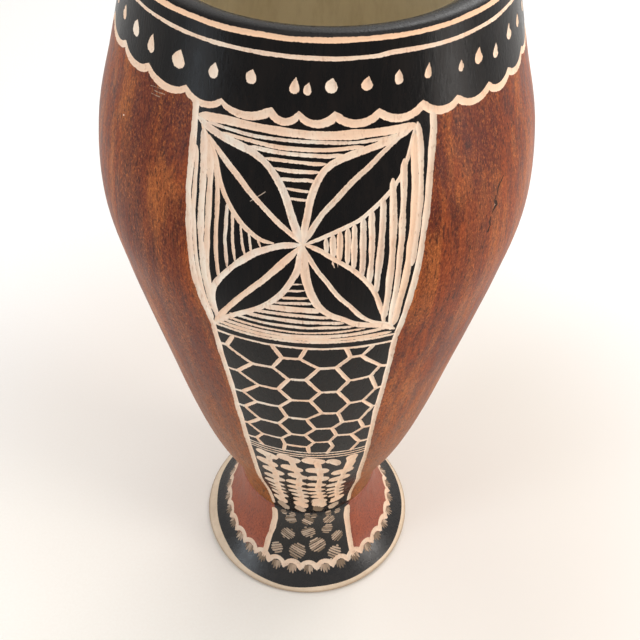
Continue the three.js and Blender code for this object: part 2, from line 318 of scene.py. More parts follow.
MIDRIBS = [
    (1.7, (-26.6, 257.2), (-22.2, 252.6), (-17.5, 248.2), (-13.4, 243.9), (-9, 239.5), (-4.6, 235.3),
      (-2.6, 233)),
    (1.6, (21, 260.2), (16, 256.7), (12.5, 253.5), (8.6, 250), (4.8, 245.7), (1.3, 241.2), (-2.4, 233.2)),
    (1.9, (-2.6, 232.8), (-4.6, 230), (-7.5, 225.7), (-11.1, 220.5), (-14.9, 215.1), (-18.1, 210.1),
      (-21.1, 204.6), (-23.4, 200), (-25, 196.4)),
    (1.5, (-2.6, 232.8), (0.4, 225.6), (3.1, 220.9), (5.7, 216), (8.6, 211.5), (11.3, 207.1),
      (14.2, 203.9), (17.8, 201.8), (19.5, 200.6)),
]
TOP_HATCH = [
    (2.3, (-29.7, 261.4), (-20, 262.3), (0, 261.6), (15, 261.7), (24.6, 261.8)),
    (1.0, (-27, 260.4), (-15, 259.9), (0, 259.8), (12, 259.7), (21, 260.5)),
    (1.15, (-23, 258.9), (-10, 258.1), (3, 258.1), (11, 258.5)),
    (1.15, (-16, 257), (-8, 256.6), (2, 256.5), (6, 256.8)), (1.0, (-12.4, 254.8), (2.4, 254.6)),
    (1.1, (-10.2, 252.5), (1, 252.4)), (1.1, (-8.7, 250.2), (0, 250.2)),
    (0.8, (-7.3, 247.9), (-0.8, 247.5)), (0.8, (-6.3, 245.4), (-1.2, 245.4)),
]
BOTTOM_HATCH = [
    (0.7, (-5.4, 219.6), (-2.6, 220)), (0.9, (-6.6, 217.1), (-1.8, 217.9)),
    (1.0, (-7.6, 214.5), (-1, 215.1)), (1.1, (-9.4, 212.4), (0.2, 213)),
    (2.0, (-12, 210.1), (-4, 210.4), (2.2, 210)), (1.5, (-14.5, 208), (-5, 208), (4.4, 207)),
    (1.6, (-17, 205.9), (-6, 205.3), (7.4, 204.6)), (1.3, (-20, 203.6), (-8, 202.7), (10, 202.4)),
    (1.1, (-22.5, 201.4), (-12, 200.4), (0, 199.9), (13, 201)),
    (1.7, (-24.2, 199.6), (-12, 198.5), (0, 198), (14, 198.9), (19.6, 199.9)),
    (1.7, (-24.8, 197.6), (-12, 196.8), (0, 196.3), (20, 196.6)),
    (1.3, (-25.8, 195.6), (-12, 195.2), (0, 195.1), (21.6, 194.9)),
]
LEFT_HATCH = [
    (1.9, (-28.2, 258.5), (-27.6, 253), (-26.9, 245), (-26.8, 235), (-26.5, 226), (-26, 217),
      (-25.2, 210), (-24.5, 202)),
    (1.8, (-26.6, 256), (-25.5, 250), (-24.9, 239), (-25.1, 226), (-25, 217), (-24.8, 211)),
    (1.4, (-29.7, 253.5), (-29.2, 247), (-28.9, 241), (-28.8, 235), (-28.2, 225), (-27.2, 214),
      (-26, 204), (-25.3, 198)),
    (1.25, (-24.8, 253.5), (-23.2, 246), (-22.7, 238), (-22.7, 226), (-22.1, 217.2)),
    (1.1, (-20.3, 241.5), (-20.4, 231), (-19.9, 222)), (0.95, (-19, 239.6), (-18.6, 231), (-18, 224.4)),
    (0.85, (-16.9, 237), (-16.3, 231), (-15.7, 227)), (0.8, (-15, 235), (-14.5, 231), (-14, 227.6)),
    (0.8, (-12.9, 233.4), (-11.8, 230.2)),
]
RIGHT_HATCH = [
    (1.6, (2.6, 235), (2.9, 230.6)), (2, (4.1, 236), (4.3, 229.2)), (2, (5.7, 236.8), (5.8, 228.2)),
    (1.7, (7.4, 237.8), (7.6, 226.6)), (1.7, (8.9, 238.8), (9, 225)),
    (1.7, (10.9, 240.2), (11, 230), (10.9, 222)), (1.8, (12.9, 242), (13, 230), (12.8, 219.2)),
    (1.9, (15.6, 245), (15.2, 232), (14.6, 219.6), (14.2, 215)),
    (2, (18.1, 249.4), (17.9, 232), (17.4, 212.8), (17.1, 204)),
    (2, (21.1, 253.8), (20.3, 239), (19.5, 220), (19.1, 207), (19.6, 198)),
    (2.2, (24.1, 259.5), (23.6, 245), (22.5, 232), (21.6, 220), (20.7, 210), (20.2, 200)),
    (1.6, (24.9, 262.3), (25.5, 256), (25, 245), (23.8, 233), (22.9, 223)),
]
PANEL_LINES = [
    (1.15, (-25.6, 192.1), (-12, 192), (0, 191.6), (21.8, 191.1)),
    (0.85, (-25.3, 119.4), (0, 118.1), (24.7, 116.7)), (0.85, (-25.3, 117.5), (0, 116), (24.8, 114.6)),
    (0.9, (-25.3, 115.6), (0, 114), (24.9, 112.5)),
]
NET_ZIGZAGS = [
    [(-20.8, 191.6), (-23, 185.3), (-16.4, 178.6), (-21.4, 171.2), (-15.6, 165.3), (-21.5, 157.8),
      (-17.5, 153), (-22.3, 146.7), (-17.5, 140.3), (-22.8, 134), (-17.8, 128.5), (-20.8, 123.5),
      (-18.5, 119)],
    [(-10, 191.6), (-7.8, 185.3), (-10.5, 178.9), (-6.3, 172.4), (-9.5, 165.3), (-5.8, 158.9),
      (-9.8, 153.1), (-7.5, 146), (-10.8, 140.3), (-6.8, 133.1), (-10.3, 128.5), (-9.3, 123.9),
      (-10, 118.6)],
    [(-1.5, 191.4), (-3, 185.6), (2.3, 180.3), (-1.4, 173), (3, 164.9), (0, 159.2), (3.9, 150.3),
      (-1, 145.5), (1.9, 138.1), (-1.4, 133), (1.9, 127.1), (-0.3, 123.1), (0, 118)],
    [(9, 190.9), (10.3, 186), (6.9, 180.5), (11, 171.5), (8.2, 164.9), (12.4, 156), (9.4, 149.4),
      (11.4, 142.2), (7.9, 138), (9.9, 132.2), (7.8, 127.3), (9.3, 123.1), (7.5, 117.6)],
    [(15.8, 190.6), (13.3, 186), (19.5, 177.8), (17.4, 172.3), (20.4, 163.1), (16.9, 156), (21.1, 149.6),
      (17.4, 141.6), (20, 134.6), (15.8, 130.9), (20, 123.1), (17.3, 117.2)],
]
NET_LEFT_ENDS = [
    (-25.5, 185.2), (-25.5, 171), (-23.8, 157.2), (-25.4, 146.7), (-25.5, 133.8), (-25.5, 123),
]
NET_RIGHT_ENDS = [(22.4, 176.5), (22.8, 163), (23, 150.2), (23.9, 133.9), (24.4, 122.6)]
NET_FREE_ENDS = {(1, 3): (-5.2, 172.8)}
NET_WIDTH = 1.5

COMB_COLUMNS = [
    (2, (-18, 111), (-18.9, 103), (-16.9, 95), (-17.4, 87), (-18.2, 79.5), (-19.3, 72), (-20.3, 64.5),
      (-21.2, 57), (-21.6, 50), (-19.6, 44.6)),
    (2, (-8.4, 111), (-7.2, 101.5), (-4.9, 93.5), (-5.8, 85.5), (-6.1, 77.5), (-5.7, 69.5), (-5.3, 61.5),
      (-5, 54), (-4.8, 48.6), (-5.6, 44.4)),
    (1.2, (2.4, 110), (4, 100.5), (5.1, 91.5), (4.6, 83), (4.9, 75), (6.4, 67), (8.6, 59.5), (9.9, 52.5),
      (9.8, 48.4), (8.8, 44.4)),
    (-0.8, (16.4, 96.5), (16, 88.5), (15.9, 80.5), (16.8, 72.5), (18.6, 65), (21, 57.5), (23.6, 50.5),
      (22.4, 44.8)),
]
COMB_TOP_MARKS = [
    ([4.4, 4.6, 2.6], (9.7, 109.3), (11.2, 108.2), (13.2, 105.2)),
    ([4.2, 3.9, 3.6], (18.8, 109.7), (19.1, 104), (18.4, 98)),
]
COMB_THICKNESS = 5.2
COMB_SPINE = 2.5
COMB_LENGTH = 7.4
COMB_GROWTH = 0.03
COMB_JOINT = 0.5
COMB_FOOT = 47
COMB_END_THICKNESS = 3.6
SCRAPED = 1.0


def panel_borders(low, high, width):
    """Both border lines between two heights."""
    lines = [[point for point in line if low <= point[1] <= high] for line in (LEFT_BORDER, RIGHT_BORDER)]
    return [Stroke(line, width) for line in lines]


def rosette():
    hatches = TOP_HATCH + BOTTOM_HATCH + LEFT_HATCH + RIGHT_HATCH
    strokes = cuts(PETAL_ARCS, taper=ARC_TAPER) + cuts(MIDRIBS, taper=MIDRIB_TAPER)
    return strokes + cuts(hatches, taper=HATCH_TAPER)


def net_bars():
    """Bars at every second node: from the left border, between the zigzags, and to the right border."""
    bars = [[end, node] for end, node in zip(NET_LEFT_ENDS, NET_ZIGZAGS[0][1::2])]
    for k, (left, right) in enumerate(zip(NET_ZIGZAGS[:-1], NET_ZIGZAGS[1:])):
        for i in range(2 - k % 2, min(len(left), len(right)) - 1, 2):
            bars.append([NET_FREE_ENDS.get((k, i), left[i]), right[i]])
    return bars + [[node, end] for node, end in zip(NET_ZIGZAGS[-1][2::2], NET_RIGHT_ENDS)]


def net():
    strokes = cuts(PANEL_LINES)
    strokes += [Stroke(line, NET_WIDTH, curved=False) for line in NET_ZIGZAGS]
    return strokes + [Stroke(line, NET_WIDTH) for line in net_bars()]


def degrees_per_mm(outline, z):
    """Azimuth covered by a millimetre round the skin at a height."""
    return 180 / (math.pi * float(outline.place(outline.along(z))[0]))


def comb_marks():
    """Columns of short fat arms joined down one side, like the teeth of a comb."""
    strokes = cuts(COMB_TOP_MARKS)
    for fall, *arms in COMB_COLUMNS:
        joints = []
        for centre, z in arms:
            reach = COMB_LENGTH + COMB_GROWTH * (z - COMB_FOOT) - COMB_THICKNESS
            half = reach / 2 * degrees_per_mm(BODY, z)
            arm = [(centre - half, z + fall / 2), (centre + half, z - fall / 2)]
            if z < COMB_FOOT:
                strokes.append(Stroke(arm, COMB_END_THICKNESS, tone=SCRAPED))
                continue
            strokes.append(Stroke(arm, COMB_THICKNESS))
            joints.append((centre + COMB_JOINT * half, z - COMB_JOINT * fall / 2))
        for upper, lower in zip(joints[:-1], joints[1:]):
            strokes.append(Stroke([upper, lower], COMB_SPINE))
    return strokes


# Foot: borders, scraped dots, and a scalloped line over short gouge marks

FOOT_DOTS = [
    (-13.5, 34.7, 5.8, 20), (0.9, 34.9, 5.8, -35), (18.5, 34.4, 5.8, 40), (-15, 24.6, 6.8, -30),
    (1.5, 27.2, 6.8, 25), (17, 28, 5.6, -20), (24.8, 21.8, 6, 35), (-22, 15.2, 6, 30), (-6.3, 16, 8, -25),
    (8.6, 19.4, 8, 30), (21, 13.6, 6.8, -35), (-19.5, 39, 3.4, 8), (-12, 38.8, 3.4, -6),
    (0.5, 39.2, 3.4, 4), (6, 38.9, 3.2, -8), (18, 39.2, 3.4, 6), (26, 38.8, 3.4, -4),
]
SCRATCH_PITCH = 1.12
SCRATCH_WIDTH = 0.92
SCRATCH_LEAST = 0.3
LIFT_AZIMUTH = -85
LIFT_SPREAD = 34
BUMP_COUNT = 33
BUMP_TOP = 10.9
BUMP_FOOT = 8.4
BUMP_OFFSET = 2.0
BUMP_RISE = 1.7
BUMP_SHAPE = 0.7
BUMP_WIDTH = 2.4
BUMP_TONE = 0.4
# Marks of a fan, as turn aside and gap at the tip
FAN = [(-2.6, 0.7), (-0.9, 0.1), (0.9, 0), (2.6, 0.6)]
FAN_TOP = 9.2
FAN_TIP = 6.6
FAN_WIDTH = 1.25
FAN_TAPER = (0, 1.5)
FAN_TONE = 1.15
FAN_GATHER = 0.7
FAN_MARGIN = 4


def scratched_dot(azimuth, z, size, slant):
    """A round patch made of short gouge marks side by side."""
    turn = degrees_per_mm(FOOT, z)
    lean = math.radians(slant)
    rows = int(size / SCRATCH_PITCH / 2)
    strokes = []
    for row in range(-rows, rows + 1):
        aside = row * SCRATCH_PITCH
        chord = math.sqrt(max(0, (size / 2) ** 2 - aside**2))
        half = max(SCRATCH_LEAST, chord - SCRATCH_WIDTH / 2)
        ends = []
        for along in (-half, half):
            x = along * math.cos(lean) - aside * math.sin(lean)
            y = along * math.sin(lean) + aside * math.cos(lean)
            ends.append((azimuth + x * turn, z + y))
        strokes.append(Stroke(ends, SCRATCH_WIDTH, tone=SCRAPED))
    return strokes


def lift(azimuth):
    """How far the foot's hand-cut lines rise on the left side, where the bare edge is widest."""
    away = (azimuth - LIFT_AZIMUTH + BACK) % FULL_TURN - BACK
    return np.exp(-((away / LIFT_SPREAD) ** 2))


def foot_panel():
    strokes = panel_borders(*FOOT_PANEL)
    for dot in FOOT_DOTS:
        strokes += scratched_dot(*dot)
    return strokes


def fan(centre):
    """Gouge marks that spread downwards from the middle of a bump."""
    rise = BUMP_RISE * lift(centre)
    strokes = []
    for turn, gap in FAN:
        top = (centre + turn * FAN_GATHER, FAN_TOP + rise)
        tip = (centre + turn, FAN_TIP + gap + rise)
        strokes.append(Stroke([top, tip], FAN_WIDTH, taper=FAN_TAPER, tone=FAN_TONE))
    return strokes


def foot_scallops():
    """A line of upward bumps right round the foot, with a fan of gouge marks under each."""
    pitch = FULL_TURN / BUMP_COUNT
    strokes, line = [], []
    first = SEAM_AZIMUTH + (BUMP_OFFSET - SEAM_AZIMUTH) % pitch - pitch
    for i in range(BUMP_COUNT + 2):
        centre = first + pitch * i
        for t in np.linspace(-1, 1, LOBE_STEPS, endpoint=False):
            azimuth = centre + t * pitch / 2
            height = BUMP_FOOT + (BUMP_TOP - BUMP_FOOT) * (1 - t * t) ** BUMP_SHAPE
            line.append((azimuth, height + BUMP_RISE * lift(azimuth)))
        if SEAM_AZIMUTH + FAN_MARGIN < centre < SEAM_END - FAN_MARGIN:
            strokes += fan(centre)
    strokes.append(Stroke(whole_turn(line), BUMP_WIDTH, ring=True, curved=False, tone=BUMP_TONE))
    return strokes


# Marks of age and use: a drying crack, a chip, and stray nicks and scratches

CRACKS = [
    ([0.35, 0.75, 0.9, 0.6], (51.6, 237.6), (50.3, 236.4), (49.3, 235.4), (48.7, 234)),
    ([0.4, 0.9, 1.25, 1, 0.5], (48.3, 233.3), (47.8, 231.8), (48.7, 230.2), (47.5, 229.4), (46.8, 228.4)),
    ([0.5, 0.8, 0.6, 1.2], (46.6, 227.4), (46.1, 226), (46.4, 224.6), (45.8, 223)),
]
CHIPS = [(0.45, (-57.1, 249.2), (-56.9, 249.3))]
NICKS = [(0.6, (4.2, 228.3), (4.6, 225.9)), (0.45, (5.3, 228), (5.4, 226))]
SCUFFS = [
    (0.22, (-47, 262.4), (-41, 263.6)), (0.2, (-45.4, 261.8), (-41.4, 262.3)),
    (0.18, (-46.2, 260.6), (-43, 261)), (0.15, (-14.9, 243.4), (-11.5, 246.4)),
]
CRACK_TONE = 3.0
CRACK_DEPTH = 0.5
CHIP_TONE = 0.6
NICK_TAPER = (1, 1)
SCUFF_TONE = 1.2
SCUFF_DEPTH = 0.4


def marks():
    strokes = cuts(CRACKS, tone=CRACK_TONE, depth=CRACK_DEPTH) + cuts(CHIPS, tone=CHIP_TONE)
    strokes += cuts(NICKS, taper=NICK_TAPER)
    return strokes + cuts(SCUFFS, taper=NICK_TAPER, tone=SCUFF_TONE, depth=SCUFF_DEPTH)


# Surface mesh: strokes become real grooves in a triangulated turned surface

LINE_PITCH = 1.15
GROOVE_RATIO = 0.27
GROOVE_LIMIT = 0.55
LEAST_HALF = 0.12
TAPER_LEAST = 0.25
TAPER_SHAPE = 0.7
WOBBLE = 0.07
WOBBLE_REACH = 5.0
WIDTH_SPREAD = 0.09
STILL_REACH = 6
TINT_SPREAD = (-0.7, 0.1)
WIDE_HALF = 0.55
INNER_SHARE = 0.55
# Points of a round end, by the limit of its half width
CAP_POINTS = [(0.5, 3), (1.6, 5), (FAR, 9)]
EDGE_REACH = 2.5
CHUNK = 4000
BODY_PITCH = 2.6
FOOT_PITCH = 2.2
ROUND_PITCH = 1.25
ROW_SHIFT = 0.45
LEAST_COLUMNS = 16
CLEARANCE = 0.45
AZIMUTH_STRETCH = 1.1
WELD = 1e-5
SEAM_SNAP = 1e-3
SEAM_MATCH = 2e-3
POLE_MATCH = 1e-4
CUT_EDGE = 0.06


def wavering(count, rng):
    """A smooth random line of about unit size along a stroke."""
    knots = max(3, int(count * LINE_PITCH / WOBBLE_REACH) + 3)
    return np.interp(np.linspace(0, knots - 1, count), np.arange(knots), rng.normal(0, 1, knots))


def tapering(distance, reach):
    """Share of the full width at a distance from a tapered end."""
    return np.clip(TAPER_LEAST + (1 - TAPER_LEAST) * distance / reach, 0, 1) ** TAPER_SHAPE


class Groove:
    """A stroke laid out on an outline: points along its centre line, with half widths."""

    def __init__(self, stroke, outline, rng):
        azimuth, z = np.array(stroke.points, float).T
        length = outline.along(z)
        scale = float(np.mean(outline.place(length)[0])) * math.pi / 180
        widths = np.broadcast_to(np.array(stroke.width, float), azimuth.shape)
        line = np.stack([azimuth * scale, length, widths], 1)
        if stroke.curved and len(line) > 2:
            line = smooth(line, LINE_PITCH)
        else:
            line = self.straight(line)
        count = len(line)
        half = line[:, 2] / 2
        steps = np.linalg.norm(np.diff(line[:, :2], axis=0), axis=1)
        run = np.concatenate([[0], np.cumsum(steps)])
        start, end = stroke.taper
        if start:
            half = half * tapering(run, start)
        if end:
            half = half * tapering(run[-1] - run, end)
        still = np.ones(count)
        if stroke.ring:
            still = np.clip(np.minimum(run, run[-1] - run) / STILL_REACH, 0, 1)
        half = half * (1 + WIDTH_SPREAD * wavering(count, rng) * still)
        across = self.across(line)
        if stroke.ring:
            across = unit(across * still[:, None] + np.outer(1 - still, (0, 1)))
        sway = WOBBLE * wavering(count, rng) * still
        self.azimuth = line[:, 0] / scale + across[:, 0] * sway / scale
        self.length = line[:, 1] + across[:, 1] * sway
        self.half = np.maximum(half, LEAST_HALF)
        self.tilt = across
        self.outline = outline
        self.tone = stroke.tone + rng.uniform(*TINT_SPREAD)
        self.ring = stroke.ring
        self.depth = np.minimum(2 * self.half * GROOVE_RATIO, GROOVE_LIMIT) * stroke.depth

    @staticmethod
    def straight(line):
        """Points along straight runs, at about the pitch."""
        out = []
        for a, b in zip(line[:-1], line[1:]):
            count = max(1, int(round(np.linalg.norm((b - a)[:2]) / LINE_PITCH)))
            out.append(a + (b - a) * np.linspace(0, 1, count, endpoint=False)[:, None])
        out.append(line[-1:])
        return np.vstack(out)

    @staticmethod
    def across(line):
        """Unit directions across the line, to its left."""
        ahead = unit(np.gradient(line[:, :2], axis=0))
        return np.stack([-ahead[:, 1], ahead[:, 0]], 1)

    def offset(self, share):
        """Azimuth and length of a line beside the centre, at a share of the half width."""
        scale = self.outline.scale(self.length)
        azimuth = self.azimuth + self.tilt[:, 0] * self.half * share / scale
        return azimuth, self.length + self.tilt[:, 1] * self.half * share

    def cap(self, end):
        """Round end beyond the first or last point, from its left edge to its right edge."""
        i, sign = (0, -1) if end == 0 else (-1, 1)
        scale = self.outline.scale(self.length[i])
        half, left = self.half[i], self.tilt[i]
        out = sign * np.array([left[1], -left[0]])
        count = next(points for limit, points in CAP_POINTS if half < limit)
        angles = np.linspace(0, math.pi, count + 2)[1:-1]
        azimuth = self.azimuth[i] + half * (np.cos(angles) * left[0] + np.sin(angles) * out[0]) / scale
        length = self.length[i] + half * (np.cos(angles) * left[1] + np.sin(angles) * out[1])
        return azimuth, length

    def lines(self):
        """The edge as one closed line or two open ones, and the lines inside it."""
        left, right = self.offset(1), self.offset(-1)
        inner = [self.offset(0)]
        if self.half.max() > WIDE_HALF:
            inner += [self.offset(INNER_SHARE), self.offset(-INNER_SHARE)]
        if self.ring:
            return [left, right] + inner
        start, end = self.cap(0), self.cap(1)
        parts = zip(left, end, right, start)
        edge = [np.concatenate([a, b, c[::-1], d[::-1], a[:1]]) for a, b, c, d in parts]
        return [edge] + inner


def measure(azimuth, length, outline, grooves):
    """Per point: distance outside the nearest cut edge, depth of cut, and tone of the deepest cut."""
    edge = np.full(len(azimuth), FAR)
    depth = np.zeros(len(azimuth))
    tone = np.zeros(len(azimuth))
    scale = outline.scale(length)
    for g in grooves:
        reach = EDGE_REACH + g.half.max()
        pad = reach / outline.scale(g.length).min()
        near = (azimuth > g.azimuth.min() - pad) & (azimuth < g.azimuth.max() + pad)
        near &= (length > g.length.min() - reach) & (length < g.length.max() + reach)
        index = np.nonzero(near)[0]
        for chunk in (index[i : i + CHUNK] for i in range(0, len(index), CHUNK)):
            px, py = (azimuth[chunk] * scale[chunk])[:, None], length[chunk][:, None]
            ax = g.azimuth[None, :-1] * scale[chunk, None]
            bx = g.azimuth[None, 1:] * scale[chunk, None]
            ay, by = g.length[None, :-1], g.length[None, 1:]
            ex, ey = bx - ax, by - ay
            t = ((px - ax) * ex + (py - ay) * ey) / np.maximum(ex**2 + ey**2, TINY)
            t = np.clip(t, 0, 1)
            away = np.hypot(px - ax - t * ex, py - ay - t * ey)
            half = g.half[None, :-1] + t * np.diff(g.half)[None, :]
            best = np.argmin(away - half, axis=1)
            row = np.arange(len(chunk))
            away, half, t = away[row, best], half[row, best], t[row, best]
            inside = np.clip(1 - away / half, 0, 1)
            full = g.depth[best] + t * (g.depth[best + 1] - g.depth[best])
            cut = full * (2 * inside - inside**2)
            edge[chunk] = np.minimum(edge[chunk], away - half)
            tone[chunk] = np.where(cut > depth[chunk], g.tone, tone[chunk])
            depth[chunk] = np.maximum(depth[chunk], cut)
    return edge, depth, tone


def triangulate(outline, grooves, zone_lines, pitch):
    """Triangles in (azimuth, length), with every groove line and corner row as real edges."""
    points, edges = [], []

    def add_line(azimuth, length):
        first = len(points)
        points.extend(zip(azimuth * AZIMUTH_STRETCH, length))
        edges.extend((i, i + 1) for i in range(first, len(points) - 1))

    left_side, right_side = SEAM_AZIMUTH * AZIMUTH_STRETCH, SEAM_END * AZIMUTH_STRETCH
    for g in grooves:
        for azimuth, length in g.lines():
            add_line(azimuth, length)
    corners = set(np.round([*outline.plain_lengths, outline.start, outline.end], 4))
    rows = np.round(np.arange(outline.start, outline.end, pitch), 4)
    free = []
    for number, length in enumerate(sorted(corners | set(rows))):
        radius = outline.place(length)[0]
        count = max(LEAST_COLUMNS, int(2 * math.pi * radius / (pitch * ROUND_PITCH)))
        azimuth = np.linspace(SEAM_AZIMUTH, SEAM_END, count + 1)
        if length in corners:
            add_line(azimuth, np.full(len(azimuth), length))
            continue
        inner = azimuth[1:-1] + ROW_SHIFT * (number % 2) * (azimuth[1] - azimuth[0])
        points.extend([(left_side, length), (right_side, length)])
        free.append((inner, np.full(len(inner), length)))
    free_azimuth, free_length = np.hstack(free)
    clear = measure(free_azimuth, free_length, outline, grooves)[0] > CLEARANCE
    points.extend(zip(free_azimuth[clear] * AZIMUTH_STRETCH, free_length[clear]))
    for azimuth, length in zone_lines:
        add_line(azimuth, length)
    first, total = len(points), outline.length[-1]
    points.extend([(left_side, 0), (left_side, total), (right_side, total), (right_side, 0)])
    edges.extend((first + i, first + (i + 1) % 4) for i in range(4))
    spread = np.array(points)
    for side in (left_side, right_side):
        spread[np.abs(spread[:, 0] - side) < SEAM_SNAP, 0] = side
    found = delaunay_2d_cdt([Vector(p) for p in spread.tolist()], edges, [], 0, WELD, False)
    flat = np.array([tuple(p) for p in found[0]])
    azimuth, faces = flat[:, 0] / AZIMUTH_STRETCH, np.array(found[2], int)
    on_left, on_right = azimuth < SEAM_AZIMUTH + SEAM_SNAP, azimuth > SEAM_END - SEAM_SNAP
    azimuth[on_left], azimuth[on_right] = SEAM_AZIMUTH, SEAM_END
    sliver = on_left[faces].all(1) | on_right[faces].all(1)
    return azimuth, flat[:, 1], faces[~sliver]


def join_seam(azimuth, length, faces, total):
    """One index for the points that meet at the seam, and for each end on the axis."""
    same = np.arange(len(azimuth))
    seam = np.nonzero((azimuth <= SEAM_AZIMUTH) | (azimuth >= SEAM_END))[0]
    seam = seam[np.argsort(length[seam], kind="stable")]
    group = np.concatenate([[0], np.cumsum(np.diff(length[seam]) > SEAM_MATCH)])
    first = np.searchsorted(group, np.arange(group[-1] + 1))
    same[seam] = seam[first[group]]
    for pole in (np.nonzero(length < POLE_MATCH)[0], np.nonzero(length > total - POLE_MATCH)[0]):
        same[pole] = pole[0]
    faces = same[faces]
    kept = (faces != np.roll(faces, 1, axis=1)).all(1)
    return faces[kept], kept


def turned_places(azimuth, length, outline, depth):
    """Positions and plain surface normals."""
    radius, z = outline.place(length)
    out_r, out_z = outline.normal(length)
    angle = np.radians(azimuth)
    side = np.stack([np.sin(angle), -np.cos(angle)], 1)
    r, z = radius - depth * out_r, z - depth * out_z
    places = np.column_stack([side * r[:, None], z])
    normals = np.column_stack([side * out_r[:, None], out_z])
    return places, normals


def cross(points, faces):
    """Cross product of two sides of each triangle."""
    a, b, c = (points[faces[:, i]] for i in range(3))
    return np.cross(b - a, c - a)


def placed(name, data):
    """A new object in the scene."""
    item = bpy.data.objects.new(name, data)
    bpy.context.scene.collection.objects.link(item)
    return item


def build_turned(name, outline, strokes, zones, pitch, zone_lines=()):
    """The whole piece as one closed mesh, with its grooves, shading normals and colour masks."""
    rng = np.random.default_rng(SEED)
    grooves = [Groove(stroke, outline, rng) for stroke in strokes]
    azimuth, length, faces = triangulate(outline, grooves, zone_lines, pitch)
    edge, depth, _ = measure(azimuth, length, outline, grooves)
    middle_azimuth, middle_length = azimuth[faces].mean(1), length[faces].mean(1)
    middle_edge, _, tone = measure(middle_azimuth, middle_length, outline, grooves)
    masks = zones(middle_azimuth, outline.place(middle_length)[1], middle_length)
    masks["tone"] = tone
    turned_over = cross(np.column_stack([azimuth, length]), faces) < 0
    faces[turned_over] = faces[turned_over][:, ::-1]
    joined, kept = join_seam(azimuth, length, faces, outline.length[-1])
    cut = middle_edge[kept] < 0
    places, normals = turned_places(azimuth, length, outline, depth)
    used, joined = np.unique(joined, return_inverse=True)
    joined = joined.reshape(-1, 3)
    places, normals, edge = places[used], normals[used], edge[used]

    mesh = bpy.data.meshes.new(name)
    mesh.from_pydata((places * MM).tolist(), [], joined.tolist(), shade_flat=False)
    shade(mesh, places, normals, joined, cut)

    layer = mesh.attributes.new("cut", "FLOAT", "CORNER")
    side = np.where(cut, CUT_EDGE, -CUT_EDGE)
    layer.data.foreach_set("value", (np.clip(-edge[joined], -1, 1) + side[:, None]).ravel())
    for key, value in masks.items():
        layer = mesh.attributes.new(key, "FLOAT", "FACE")
        layer.data.foreach_set("value", value[kept].astype(float))
    return placed(name, mesh)


def shade(mesh, places, normals, faces, cut):
    """True surface normals on the uncut skin, and the cut faces' own normals inside the cuts."""
    flat = cross(places, faces)
    total = np.zeros_like(places)
    for i in range(3):
        np.add.at(total, faces[cut, i], flat[cut])
    corners = np.where(np.repeat(cut, 3)[:, None], unit(total)[faces.ravel()], normals[faces.ravel()])
    mesh.normals_split_custom_set(corners.astype(float).tolist())


# Zones of colour on the uncut skin

BAND_TOP = 8.6
BARE_EDGE = 2.9
BARE_LIFT = 1.8
BARE_WAVES = [(0.12, 5), (0.08, 11)]


def bare_edge(azimuth):
    """Height of the wandering line between the bare edge of the foot and its black band."""
    height = BARE_EDGE + BARE_LIFT * lift(azimuth)
    for size, count in BARE_WAVES:
        height = height + size * np.sin(count * np.radians(azimuth))
    return height


def between_borders(azimuth, z):
    """Whether a place lies between the two borders of the front or the back panel."""
    inside = np.zeros(len(azimuth), bool)
    left, right = (np.array(line)[::-1] for line in (LEFT_BORDER, RIGHT_BORDER))
    for turn in (0.0, BACK):
        low = np.interp(z, left[:, 1], left[:, 0]) + turn
        high = np.interp(z, right[:, 1], right[:, 0]) + turn
        inside |= (azimuth > low) & (azimuth < high)
    return inside


def body_zones(azimuth, z, length):
    on_skin = (length > BODY.start - SEAM_EDGE) & (length < BODY.end)
    inside = length > HOLLOW_START
    collar_floor = np.interp(azimuth, *np.array(SCALLOPS).T)
    black = on_skin & ((z > collar_floor) | between_borders(azimuth, z))
    black |= (length >= BODY.end) & ~inside
    return {"black": black, "raw": inside}


def foot_zones(azimuth, z, length):
    on_skin = (length > FOOT.start) & (length < FOOT.end + SEAM_EDGE)
    bare = (z < bare_edge(azimuth)) | (length < FOOT.start)
    band = z < BAND_TOP + BUMP_RISE * lift(azimuth)
    black = on_skin & ~bare & (band | between_borders(azimuth, z))
    return {"black": black, "raw": bare}


# The two pieces


def both_sides(strokes):
    """The strokes of the front panel and their repeat at the back."""
    return strokes + [stroke.turned(BACK) for stroke in strokes]


panel = panel_borders(*BODY_PANEL) + rosette() + net() + comb_marks()
body = build_turned("vase_body", BODY, collar() + both_sides(panel) + marks(), body_zones, BODY_PITCH)
foot_strokes = foot_scallops() + both_sides(foot_panel())
bare_line = (ROUND, FOOT.along(bare_edge(ROUND)))
foot = build_turned("vase_foot", FOOT, foot_strokes, foot_zones, FOOT_PITCH, [bare_line])

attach(body, "root")
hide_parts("body")
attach(foot, "root")
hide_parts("foot")


# Materials


def srgb(red, green, blue):
    """A linear colour from display values of 0 to 255."""
    values = [x / 255 for x in (red, green, blue)]
    return tuple(x / 12.92 if x <= 0.04045 else ((x + 0.055) / 1.055) ** 2.4 for x in values) + (1.0,)


